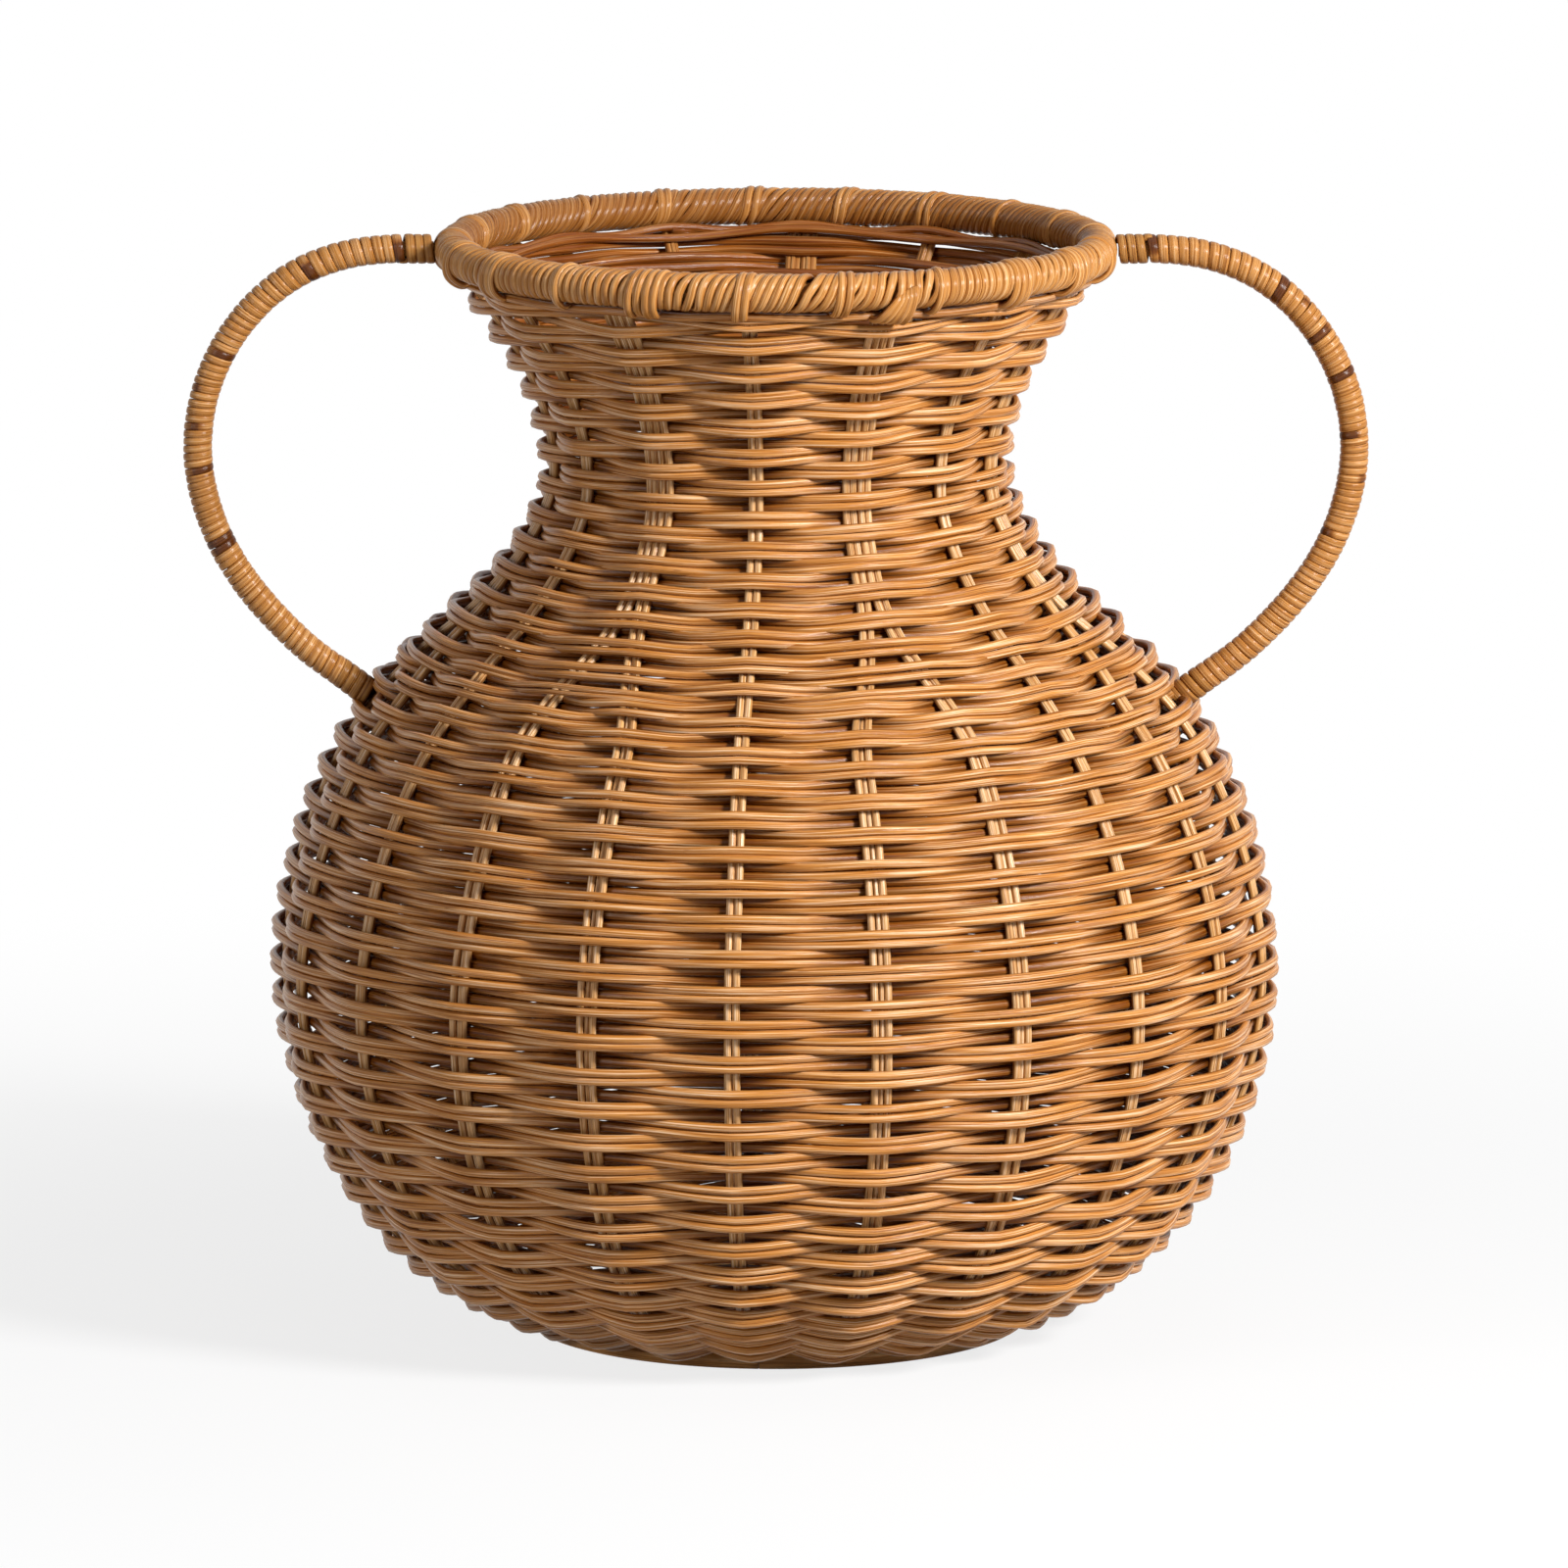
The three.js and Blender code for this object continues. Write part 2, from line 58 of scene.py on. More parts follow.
# The wall's middle surface by radius and height, and the places between as shares of the way
stake_seat = (foot_radius - seat_inset, foot_height + seat_lift)
belly = (175.2, 133)
neck = (80.2, 312)
rim = (rim_radius, rim_height)
foot_to_belly_shares = [
    (0.09, 0.01), (0.245, 0.053), (0.42, 0.122), (0.59, 0.229),
    (0.747, 0.372), (0.88, 0.558), (0.967, 0.762),
]
belly_to_neck_shares = [
    (0.041, 0.168), (0.137, 0.33), (0.291, 0.486), (0.512, 0.62),
    (0.755, 0.739), (0.93, 0.866), (1, 0.955),
]
neck_to_rim_shares = [(0, 0.108), (0.15, 0.36)]


def between(start, end, shares):
    return np.array(start) + np.subtract(end, start) * np.array(shares)


def lengths_along(line):
    """How far along a line each of its points lies."""
    return np.append(0, np.cumsum(np.linalg.norm(np.diff(line, axis=0), axis=1)))


def unit(vectors):
    return vectors / np.linalg.norm(vectors, axis=1)[:, None]


def cubic(t, start, leave, end, arrive):
    """A curve over t from 0 to 1 that leaves the start and arrives at the end at given slopes."""
    return (
        (2 * t**3 - 3 * t**2 + 1) * start + (t**3 - 2 * t**2 + t) * leave
        + (3 * t**2 - 2 * t**3) * end + (t**3 - t**2) * arrive
    )


upper_neck = between(neck, rim, neck_to_rim_shares)[-1]
down_the_wall = (upper_neck - rim) / np.linalg.norm(upper_neck - rim)
knots = np.vstack([
    stake_seat, between(stake_seat, belly, foot_to_belly_shares),
    belly, between(belly, neck, belly_to_neck_shares),
    between(neck, rim, neck_to_rim_shares), rim + down_the_wall * (rim_outer + seat_gap),
])
levels = lengths_along(knots)
wall_length = levels[-1]
slopes = np.gradient(knots, levels, axis=0)


def wall_at(level):
    """The wall's place (radius, height) and outward normal at lengths up from the foot."""
    knot = np.clip(np.searchsorted(levels, level) - 1, 0, len(levels) - 2)
    span = (levels[knot + 1] - levels[knot])[:, None]
    t = (level - levels[knot])[:, None] / span
    place = cubic(t, knots[knot], span * slopes[knot], knots[knot + 1], span * slopes[knot + 1])
    along = unit(slopes[knot] * (1 - t) + slopes[knot + 1] * t)
    return place, np.stack([along[:, 1], -along[:, 0]], 1)


def beside_wall(angle, level, out, up):
    """Points so far out from the wall's middle and so far up along it."""
    place, normal = wall_at(level)
    radius = place[:, 0] + normal[:, 0] * out - normal[:, 1] * up
    height = place[:, 1] + normal[:, 1] * out + normal[:, 0] * up
    return np.stack([radius * np.sin(angle), -radius * np.cos(angle), height], 1)


def outwards(angle):
    return np.stack([np.sin(angle), -np.cos(angle), np.zeros(len(angle))], 1)


def sideways(angle):
    return np.stack([np.cos(angle), np.sin(angle), np.zeros(len(angle))], 1)


# All that is uneven by hand is drawn from here, in the order in which the pieces are made
hand = np.random.default_rng(20)
millimetre = 0.001
# In metres: how near points are merged, and between what places a rod's grain starts
merge_distance = 1e-6
grain_starts = (0, 40)


def drift(count, size, every):
    """A slow unevenness, from one value to the next."""
    marks = hand.uniform(-size, size, count // every + 2)
    return np.interp(np.arange(count) / every, np.arange(len(marks)), marks)


def rolled(rod, sides, squareness):
    """One rod's mesh: a flat sheet rolled to a tube on the rod's middle line.

    Its section is an ellipse with a squareness of 1, and squarer the lower that is. The grain's u
    runs along the rod in metres from a start of its own, and v goes round it, from its inner side.
    """
    line, facing, half_thickness, half_width, *shade_and_stain = rod
    sheet = bmesh.new()
    sheet.loops.layers.uv.new("UVMap")
    bmesh.ops.create_grid(sheet, x_segments=len(line) - 1, y_segments=sides, size=1, calc_uvs=True)
    mesh = bpy.data.meshes.new("rod")
    sheet.to_mesh(mesh)
    sheet.free()
    flat = np.empty(3 * len(mesh.vertices))
    mesh.vertices.foreach_get("co", flat)
    flat = flat.reshape(-1, 3)
    place = np.rint((flat[:, 0] + 1) / 2 * (len(line) - 1)).astype(int)
    around = (flat[:, 1] + 1) * math.pi
    along = unit(np.gradient(line, axis=0))
    out = np.broadcast_to(facing, line.shape)
    out = unit(out - np.sum(out * along, axis=1)[:, None] * along)
    across = np.cross(along, out)
    depth = -np.sign(np.cos(around)) * np.abs(np.cos(around)) ** squareness
    breadth = np.sign(np.sin(around)) * np.abs(np.sin(around)) ** squareness
    thick = np.broadcast_to(half_thickness, len(line))[place] * depth
    wide = np.broadcast_to(half_width, len(line))[place] * breadth
    points = line[place] + thick[:, None] * out[place] + wide[:, None] * across[place]
    mesh.vertices.foreach_set("co", (points * millimetre).ravel())
    grain = np.empty(2 * len(mesh.loops))
    mesh.uv_layers[0].data.foreach_get("uv", grain)
    grain = grain.reshape(-1, 2)
    reached = np.rint(grain[:, 0] * (len(line) - 1)).astype(int)
    grain[:, 0] = (lengths_along(line) * millimetre)[reached] + hand.uniform(*grain_starts)
    mesh.uv_layers[0].data.foreach_set("uv", grain.ravel())
    # Painted shade in the weave and round the rim, and real dark patches on the handles
    darkness = np.broadcast_to(shade_and_stain[0] if shade_and_stain else 0, len(line))[place]
    mesh.attributes.new("shade_and_stain", "FLOAT", "POINT").data.foreach_set("value", darkness)
    return mesh


def lay(name, rods, finish, sides=8, squareness=1.0):
    """A piece made of one or more rods.

    A rod is its middle line, the way its outer side faces, half its thickness and half its width,
    and how much darker its colour is, from 0 to 1: painted shade in the weave's recesses and round
    the rim, and real dark patches on the handles.
    """
    whole = bmesh.new()
    for rod in rods:
        mesh = rolled(rod, sides, squareness)
        whole.from_mesh(mesh)
        bpy.data.meshes.remove(mesh)
    bmesh.ops.remove_doubles(whole, verts=whole.verts, dist=merge_distance)
    bmesh.ops.holes_fill(whole, edges=[e for e in whole.edges if e.is_boundary], sides=0)
    bmesh.ops.recalc_face_normals(whole, faces=whole.faces)
    for face in whole.faces:
        face.smooth = len(face.verts) == 4
    mesh = bpy.data.meshes.new(name)
    whole.to_mesh(mesh)
    whole.free()
    piece = bpy.data.objects.new(name, mesh)
    bpy.context.scene.collection.objects.link(piece)
    mesh.materials.append(finish)
    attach(piece, "root")
    return piece


def rattan(name, dark, middle, light, roughness, coat):
    """Stained rattan: fibres along the rod, tints that change slowly along it, small dark flecks.

    A rod's outer side is painted a little paler, a painted highlight, and its inner side darker,
    painted shade. The shade_and_stain attribute darkens it further: painted shade in the recesses of
    the weave and round the rim, and real dark patches on the handles.
    """
    finish = bpy.data.materials.new(name)
    finish.use_nodes = True
    nodes, links = finish.node_tree.nodes, finish.node_tree.links
    skin = nodes["Principled BSDF"]
    skin.inputs["Specular IOR Level"].default_value = 0.02
    skin.inputs["Coat Weight"].default_value = coat
    skin.inputs["Coat Roughness"].default_value = 0.24

    def number(operation, *values):
        node = nodes.new("ShaderNodeMath")
        node.operation = operation
        for socket, value in zip(node.inputs, values):
            if isinstance(value, bpy.types.NodeSocket):
                links.new(value, socket)
            else:
                socket.default_value = value
        return node.outputs[0]

    grain = nodes.new("ShaderNodeUVMap")
    grain.uv_map = "UVMap"
    split = nodes.new("ShaderNodeSeparateXYZ")
    links.new(grain.outputs["UV"], split.inputs[0])
    around = number("MULTIPLY", split.outputs["Y"], turn)
    inwards = number("COSINE", around)
    on_skin = nodes.new("ShaderNodeCombineXYZ")
    for socket, value in zip(on_skin.inputs, (inwards, number("SINE", around), split.outputs["X"])):
        links.new(value, socket)

    def noise(paces, scale, detail):
        """Noise on the skin: the first two paces count across the rod, the third along it."""
        paced = nodes.new("ShaderNodeVectorMath")
        paced.operation = "MULTIPLY"
        paced.inputs[1].default_value = paces
        links.new(on_skin.outputs[0], paced.inputs[0])
        node = nodes.new("ShaderNodeTexNoise")
        node.inputs["Scale"].default_value = scale
        node.inputs["Detail"].default_value = detail
        links.new(paced.outputs[0], node.inputs["Vector"])
        return node.outputs["Fac"]

    def ramp(value, *stops):
        node = nodes.new("ShaderNodeValToRGB")
        links.new(value, node.inputs["Fac"])
        while len(node.color_ramp.elements) < len(stops):
            node.color_ramp.elements.new(0.5)
        for element, (position, colour) in zip(node.color_ramp.elements, stops):
            element.position = position
            element.color = (*colour, 1)
        return node.outputs["Color"]

    def multiplied(colour, tint):
        node = nodes.new("ShaderNodeMix")
        node.data_type = "RGBA"
        node.blend_type = "MULTIPLY"
        node.inputs["Factor"].default_value = 1
        links.new(colour, node.inputs["A"])
        links.new(tint, node.inputs["B"])
        return node.outputs["Result"]

    plain = (1, 1, 1)
    brown_patch, bright_patch = (0.7, 0.6, 0.5), (1.12, 1.16, 1.2)
    dark_line, dark_fleck = (0.72, 0.66, 0.6), (0.5, 0.42, 0.36)
    # A painted highlight for a rod's outer side, and painted shade for its inner side
    painted_highlight_outside, painted_shade_inside = (1, 1.08, 1.3), (0.58, 0.44, 0.28)
    # Painted shade in the recesses and round the rim; the darkest colour is the real dark handle
    # patches
    stained, darkest = (0.42, 0.29, 0.13), (0.2, 0.12, 0.06)
    smoother, rougher = 0.08, 0.12
    fibres = noise((1, 1, 9), scale=3.6, detail=5)
    fine = noise((1, 1, 5), scale=11, detail=2)
    patches = noise((0.25, 0.25, 1), scale=14, detail=2)
    flecks = noise((1, 1, 60), scale=2.2, detail=1)
    inner = number("MULTIPLY_ADD", inwards, 0.5, 0.5)
    shade_and_stain_input = nodes.new("ShaderNodeAttribute")
    shade_and_stain_input.attribute_name = "shade_and_stain"
    colour = ramp(fibres, (0.3, dark), (0.5, middle), (0.72, light))
    for tint in (
        ramp(patches, (0.3, brown_patch), (0.5, plain), (0.72, bright_patch)),
        ramp(fine, (0.36, dark_line), (0.52, plain)),
        ramp(flecks, (0.2, dark_fleck), (0.29, plain)),
        # Painted highlight on the rod's outer side, painted shade on its inner side
        ramp(inner, (0, painted_highlight_outside), (0.16, plain), (0.32, plain), (0.62, painted_shade_inside)),
        # Painted shade in the weave's recesses and round the rim, and at its darkest the real dark
        # patches on the handles
        ramp(shade_and_stain_input.outputs["Fac"], (0, plain), (0.8, stained), (1, darkest)),
    ):
        colour = multiplied(colour, tint)
    links.new(colour, skin.inputs["Base Color"])
    rough = nodes.new("ShaderNodeMapRange")
    rough.inputs["To Min"].default_value = roughness - smoother
    rough.inputs["To Max"].default_value = roughness + rougher
    links.new(fine, rough.inputs["Value"])
    links.new(rough.outputs["Result"], skin.inputs["Roughness"])
    bump = nodes.new("ShaderNodeBump")
    bump.inputs["Strength"].default_value = 0.35
    bump.inputs["Distance"].default_value = 0.00025
    links.new(number("ADD", fibres, fine), bump.inputs["Height"])
    links.new(bump.outputs["Normal"], skin.inputs["Normal"])
    links.new(bump.outputs["Normal"], skin.inputs["Coat Normal"])
    return finish


stake_rattan = rattan(
    "stake_rattan", dark=(0.32, 0.12, 0.018), middle=(0.68, 0.36, 0.125), light=(0.92, 0.7, 0.44),
    roughness=0.35, coat=0.45,
)
sectors = 7
members = 3
stake_count = sectors * members
half_place = turn / stake_count / 2
first_stake_angle = math.radians(-5)
stake_width = 5
branch_gap = 0.55
fork_start = 0.585 * wall_length
fork_end = 0.76 * wall_length
branch_looseness = 0.65
# Each rod of a stake: how far aside, how far out from the wall's middle, and its radius
stake_rods = [(-1.4, 0.15, 1.36), (1.4, 0.05, 1.4), (0.05, -0.75, 1.0)]
stake_points = 110
wander_every = 9
wander_out = 0.15
wander_aside = 0.2


def drawn_together(level):
    """How far the branches have closed up: 0 on the belly, 1 on the neck."""
    share = np.clip((level - fork_start) / (fork_end - fork_start), 0, 1)
    return share * share * (3 - 2 * share)


def spread_at(level):
    """Half the angle between the two branches of a forked stake."""
    share = drawn_together(level)
    together = (stake_width + branch_gap) / 2 / wall_at(level)[0][:, 0]
    return half_place * (1 - share) + together * share


def stake_angle(stake, spread):
    """A sector has its plain stake at its start, and the two branches round its middle."""
    sector, member = divmod(stake, members)
    plain = first_stake_angle + sector * turn / sectors
    middle = plain + turn / sectors / 2
    return (plain + 0 * spread, middle - spread, middle + spread)[member]


for stake in range(stake_count):
    level = np.linspace(0, wall_length, stake_points)
    angle = stake_angle(stake, spread_at(level))
    apart = 1 + branch_looseness * (1 - drawn_together(level)) * (stake % members > 0)
    rods = []
    for aside, out, radius in stake_rods:
        line = beside_wall(angle, level, out + drift(stake_points, wander_out, wander_every), 0)
        aside = aside * apart + drift(stake_points, wander_aside, wander_every)
        line += sideways(angle) * aside[:, None]
        rods.append((line, outwards(angle), radius, radius))
    name = f"stake_{stake + 1:02d}"
    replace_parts(lay(f"{name}_rods", rods, stake_rattan), name)

# Belly weavers: one strand of two rods that winds up the belly 48 times, in front of one stake
# and behind the next. It is laid in twelve lengths, each of which begins and ends behind a stake.
weaver_rattan = rattan(
    "weaver_rattan", dark=(0.26, 0.075, 0.006), middle=(0.55, 0.218, 0.04), light=(0.86, 0.58, 0.32),
    roughness=0.35, coat=0.45,
)
belly_turns = 48
neck_turns = 14
# The height of a row where the weave begins and ends, as a share of a full row
first_row = 0.2
last_row = 0.25
weave_start = 6.45
weave_end = wall_length - 2.5
row_count = first_row + belly_turns + 2 * (neck_turns - 1) + 2 * last_row
row_pitch = (weave_end - weave_start) / row_count
# How far the last row is beaten up, and where that begins
beaten_up = 2.7
beaten_from = wall_length - 24
# The belly's strand starts behind the fifth plain stake
first_crossing = 4 * members
weaver_radius = 1.59
thinnest_end = 0.55
# How far out from the wall's middle a strand lies in front of the stakes and behind them
weave_out = 4.4
weave_in = -3.2
tautness = 0.35
steps_between = 8
# How far apart a pair's rods lie, and how thick they are behind a stake, as shares
front_spread = 1.02
middle_spread = 0.96
back_spread = 1.22
back_swell = 1.24
# What the wall's slope does to a pair: the lean of one rod on the other, the slip of the upper
# one on an upright wall, the rise on the shoulder, and the sinking where the wall leans out
pair_lean = 0.7
back_twist = 0.6
twist_fade = 3
shoulder_rise = 6.4
shoulder_slope = 0.17
belly_sink = 1.5
neck_sink = 4
# How dark the painted shade is behind the stakes, on the belly and by the mouth, and the levels
# between which the one passes into the other
belly_stain = 0.8
mouth_stain = 0.48
mouth_fade = (wall_length - 60, wall_length - 30)
# Where it fades out on the rods' way from behind a stake, at -1, to the front of the next, at 1
stain_fade = (-0.8, 0.1)
# Per crossing and rod: out from the wall, up along it, and the rod's radius
weaver_unevenness = (0.2, 0.17, 0.05)


def belly_row(turns):
    """How many rows lie under the strand, and its own height as a share of a row."""
    if turns < 1:
        return first_row * turns, first_row + (1 - first_row) * turns
    return turns - 1 + first_row, 1


def pushed_up(level):
    """The top rows are beaten up against the rim."""
    return level + beaten_up * np.clip((level - beaten_from) / (weave_end - beaten_from), 0, 1)


def crossings(first, last, row_at, sign_at):
    """Each place where a strand passes a stake: angle, level, side of the wall, row height."""
    def level_at(count):
        under, height = row_at(count / stake_count)
        return pushed_up(weave_start + row_pitch * (under + height / 2))

    places = []
    for count in range(first, last + 1):
        passed = first_crossing + count
        stake = passed % stake_count
        member = stake % members
        paired = member > 0 and level_at(count - member + 1) > fork_end
        if paired and member == 2 and count != first:
            continue
        level = level_at(count)
        spread = 0 if paired else spread_at(np.array([level]))[0]
        angle = stake_angle(stake, spread) + turn * (passed // stake_count)
        places.append((angle, level, sign_at(count, member), row_at(count / stake_count)[1]))
    return np.array(places)


def woven_pair(places, uneven):
    """Two taut rods side by side that swing from one side of the stakes to the other.

    Behind a stake they are thicker and further apart, and the upper one slips inwards where the
    wall is upright. On a slope one rests partly on the other. On their way in they rise on the
    shoulder, and sink where the wall leans out.
    """
    count = (len(places) - 1) * steps_between + 1
    step = np.arange(count) / steps_between
    before = np.minimum(step.astype(int), len(places) - 2)
    share = step - before
    eased = tautness * share + (1 - tautness) * (1 - np.cos(math.pi * share)) / 2

    def passing(values, share):
        """From the value at one crossing to the value at the next."""
        return values[before] * (1 - share) + values[before + 1] * share

    crossing_angle, crossing_level, side, row_height = places.T
    angle, level = passing(crossing_angle, share), passing(crossing_level, share)
    height, swing = passing(row_height, share), passing(side, eased)
    normal = wall_at(level)[1]
    slope = np.clip(normal[:, 1] / normal[:, 0], -1, 1)
    behind = ((1 - swing) / 2) ** 2 * height
    lean = pair_lean * slope
    swollen = np.interp(swing, (-1, 0, 1), (back_swell, 1, 1))
    spread = np.interp(swing, (-1, 0, 1), (back_spread, middle_spread, front_spread))
    spacing = weaver_radius * height * spread / np.sqrt(1 + lean**2)
    upright = np.clip(1 - twist_fade * np.abs(slope), 0, 1)
    slip = back_twist * 2 * weaver_radius * behind * upright
    sink = np.where(level < fork_start, belly_sink, neck_sink)
    rise = shoulder_rise * np.maximum(slope - shoulder_slope, 0) + sink * np.minimum(slope, 0)
    # Painted shade: the rods are coloured darker where they pass behind a stake, less so near the
    # mouth
    stain = np.interp(level, mouth_fade, (belly_stain, mouth_stain))
    shade_and_stain = stain * np.interp(swing, stain_fade, (1, 0))
    rods = []
    for rod, way in enumerate((-1, 1)):
        nudge_out, nudge_up, nudge_radius = passing(uneven[:, rod], eased[:, None]).T
        out = np.interp(swing, (-1, 1), (weave_in, weave_out)) + way * spacing * lean + nudge_out
        out = out - slip * (way > 0)
        line = beside_wall(angle, level, out, way * spacing + behind * rise + nudge_up)
        radius = weaver_radius * swollen * np.maximum(height, thinnest_end) + nudge_radius
        rods.append((line, outwards(angle), radius, radius, shade_and_stain))
    return rods


def unevenness(count):
    return hand.normal(0, 1, (count, 2, 3)) * weaver_unevenness


whole_belly = crossings(
    0, belly_turns * stake_count, belly_row, lambda count, member: 1 if count % 2 else -1
)
belly_unevenness = unevenness(len(whole_belly))
belly_lengths = 12
crossings_each = belly_turns * stake_count // belly_lengths
for length in range(belly_lengths):
    part = slice(length * crossings_each, (length + 1) * crossings_each + 1)
    rods = woven_pair(whole_belly[part], belly_unevenness[part])
    name = f"belly_weaver_{length + 1:02d}"
    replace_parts(lay(f"{name}_rods", rods, weaver_rattan), name)

# Neck weavers: two strands of two rods that chase each other round the neck, because its stake
# groups are even in number. One stays behind the plain stakes, the other behind the forked ones.
neck_lengths = 3


def neck_row(turns, strand):
    """What belly_row says, for two strands that take every other row and taper off at both ends."""
    base = belly_turns + first_row
    height = 1
    if turns < 1:
        height = (1 + turns) / 2
    if turns > neck_turns - 1:
        height = 1 + (last_row - 1) * (turns - neck_turns + 1)
    under = base - 1 + turns if turns < 1 else base + 2 * (turns - 1)
    return under + strand * height, height


for strand in (0, 1):
    cuts = [round(neck_turns * part / neck_lengths) * stake_count for part in range(neck_lengths + 1)]
    for length in range(neck_lengths):
        places = crossings(
            cuts[length] + strand,
            cuts[length + 1] + (strand if length + 1 < neck_lengths else -strand),
            lambda turns: neck_row(turns, strand),
            lambda count, member: (-1 if member == 0 else 1) * (1 if strand == 0 else -1),
        )
        rods = woven_pair(places, unevenness(len(places)))
        name = f"neck_weaver_{'ab'[strand]}{length + 1}"
        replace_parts(lay(f"{name}_rods", rods, weaver_rattan), name)

# Foot hoop: a thick, lightly stained rod bent to a ring and joined in front. The basket stands on
# it, and the stakes' lower ends rest on it.
core_rattan = rattan(
    "core_rattan", dark=(0.42, 0.155, 0.028), middle=(0.78, 0.36, 0.1), light=(0.93, 0.56, 0.24),
    roughness=0.45, coat=0.12,
)
foot_width = 6.6
foot_joint = math.radians(-4)
# Half the slit between the joined ends, in radians
half_joint = 0.0012
foot_points = 180
angle = np.linspace(foot_joint + half_joint, foot_joint + turn - half_joint, foot_points)
line = outwards(angle) * (foot_radius - foot_width / 2) + (0, 0, foot_height / 2)
rods = [(line, outwards(angle), foot_width / 2, foot_height / 2)]
piece = lay("foot_hoop_rod", rods, core_rattan, sides=14, squareness=0.6)
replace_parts(piece, "foot_hoop")

# Rim: a thick rod bent to a hoop over the stakes' upper ends, and wound with six flattened rods at
# once, 36 times round. They lie in bundles with a gap here and there, steeper in some stretches
# than in others.
wrap_rattan = rattan(
    "wrap_rattan", dark=(0.32, 0.11, 0.014), middle=(0.51, 0.215, 0.046), light=(0.74, 0.42, 0.17),
    roughness=0.35, coat=0.42,
)
wrap_strands = 6
wrap_turns = 36
wrap_steps = 20
wrap_half_width = 1.66
wrap_half_thickness = 1.2
wrap_squareness = 0.92
wrap_wander = 0.2
# How far the next rod lies from the last, as shares of an even winding, and how often
bundle_shares = [0.9, 0.94, 1.0, 1.35]
bundle_odds = [0.35, 0.35, 0.18, 0.12]
# By the angle from the front in degrees: how much the winding slants more inside than outside,
# in radians round the mouth
lean_marks = [-180, -120, -60, -15, -6, 14, 20, 70, 120, 180]
lean_sizes = [0.004, 0.012, 0.021, 0.019, 0.004, 0.002, 0.019, 0.021, 0.012, 0.004]
# How dark the painted shade is on the winding's inside, and how far round the rim it reaches
inside_stain = 0.56
inside_reach = 0.4


def finish_solid(node, finish):
    """A solid that stays in sight gets its own finish."""
    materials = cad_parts[node].data.materials
    materials.clear()
    materials.append(finish)


def beside_rim(angle, around, radius):
    """Points beside the rim's middle line: around is 0 on the inside and a half turn outside."""
    line = outwards(angle) * (rim_radius - radius * np.cos(around))[:, None]
    line[:, 2] = rim_height - radius * np.sin(around)
    facing = outwards(angle) * -np.cos(around)[:, None]
    facing[:, 2] = -np.sin(around)
    return line, facing


finish_solid("rim_hoop", core_rattan)
steps = hand.choice(bundle_shares, wrap_strands * (wrap_turns + 1), p=bundle_odds)
wrap_places = np.cumsum(np.append(0, steps))
wrap_places *= turn / wrap_places[wrap_strands * wrap_turns]
winding = []
for strand in range(wrap_strands):
    count = wrap_turns * wrap_steps + 1
    around = np.linspace(0, wrap_turns * turn, count)
    angle = np.interp(around / turn * wrap_strands + strand, np.arange(len(wrap_places)), wrap_places)
    compass = np.degrees((angle + math.pi) % turn - math.pi)
    angle = angle + np.interp(compass, lean_marks, lean_sizes) * np.sin(around)
    radius = rim_outer - wrap_half_thickness + drift(count, wrap_wander, wrap_steps // 2)
    line, facing = beside_rim(angle, around, radius)
    # Painted shade on the inside of the winding
    shade_and_stain = inside_stain * np.clip(inside_reach + np.cos(around), 0, 1)
    winding.append((line, facing, wrap_half_thickness, wrap_half_width, shade_and_stain))
piece = lay("rim_winding", winding, wrap_rattan, squareness=wrap_squareness)
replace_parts(piece, "rim_wrap")

# Rim bands: thin rods that go once round right under the winding, one outside the stakes and two
# inside. They lie against the stakes' ends and close the last gap above the weave.
band_radius = 1.5
# Painted shade: the bands are coloured darker where they lie under the winding
band_stain = 0.3
band_start = 1.9
band_points = 420
band_wander = 0.3
band_wander_every = 20
angle = np.linspace(band_start, band_start + turn, band_points)
# 1 at each group of stakes, which pushes the first two bands away from the wall
at_stakes = np.cos(2 * sectors * (angle - first_stake_angle))
# 1 at the plain stakes, where the top row passes outside and leaves room for the third
at_plain = (1 + np.cos(sectors * (angle - first_stake_angle))) / 2
bands = []
# For each band: how far below the wall's end, how much lower there, how far out from the wall's
# middle, and how much further out there
for below, lower, out, further, there in (
    (1.5, -0.8, 3, 0.5, at_stakes),
    (2.1, -0.8, -3, -0.5, at_stakes),
    (4.3, 1.2, -5.9, 2.6, at_plain),
):
    level = wall_length - (below + lower * there)
    level = level + drift(band_points, band_wander, band_wander_every)
    line = beside_wall(angle, level, out + further * there, 0)
    bands.append((line, outwards(angle), band_radius, band_radius, band_stain))
lay("rim_bands", bands, weaver_rattan)

# Rim ties: at each stake one to four flattened rods come out from under the rim inside, bend over
# the winding and droop a little outside, and hook in under the rim there.
tie_radius = rim_outer - 0.5
tie_half_thickness = 1.1
tie_half_width = 1.58
tie_spacing = 3
# A tie starts at these shares of its radius inwards and down from the rim's middle
tie_root_shares = (0.45, 0.9)
# Then it goes over the rim, in degrees: 0 is the rim's inside, -90 its top and -180 its outside
tie_bends = (36, 15, -20, -55, -90, -125, -160, -195, -228)
# Last it hooks in under the rim: out from the rim's middle, and up from where it droops to
tie_hook = ((0.5, -0.5), (-5, 1))
# It faces away from a point so far inside the rim's middle
tie_facing_inset = 1.5
tie_droops = (1.2, 2.4)
tie_slant = 6
tie_slant_behind = 9
# Painted shade: the ties on the far half of the rim are coloured darker
tie_stain_behind = 0.2
# From rod to rod: aside, in the slant and in the droop
tie_unevenness = (0.12, 0.7, 0.3)
# How many rods tie the rim at each stake, in the order of the stakes
tie_rods = [2, 2, 1, 3, 3, 2, 2, 2, 1, 2, 2, 2, 2, 1, 2, 2, 2, 2, 3, 1, 4]
bend_steps = 5


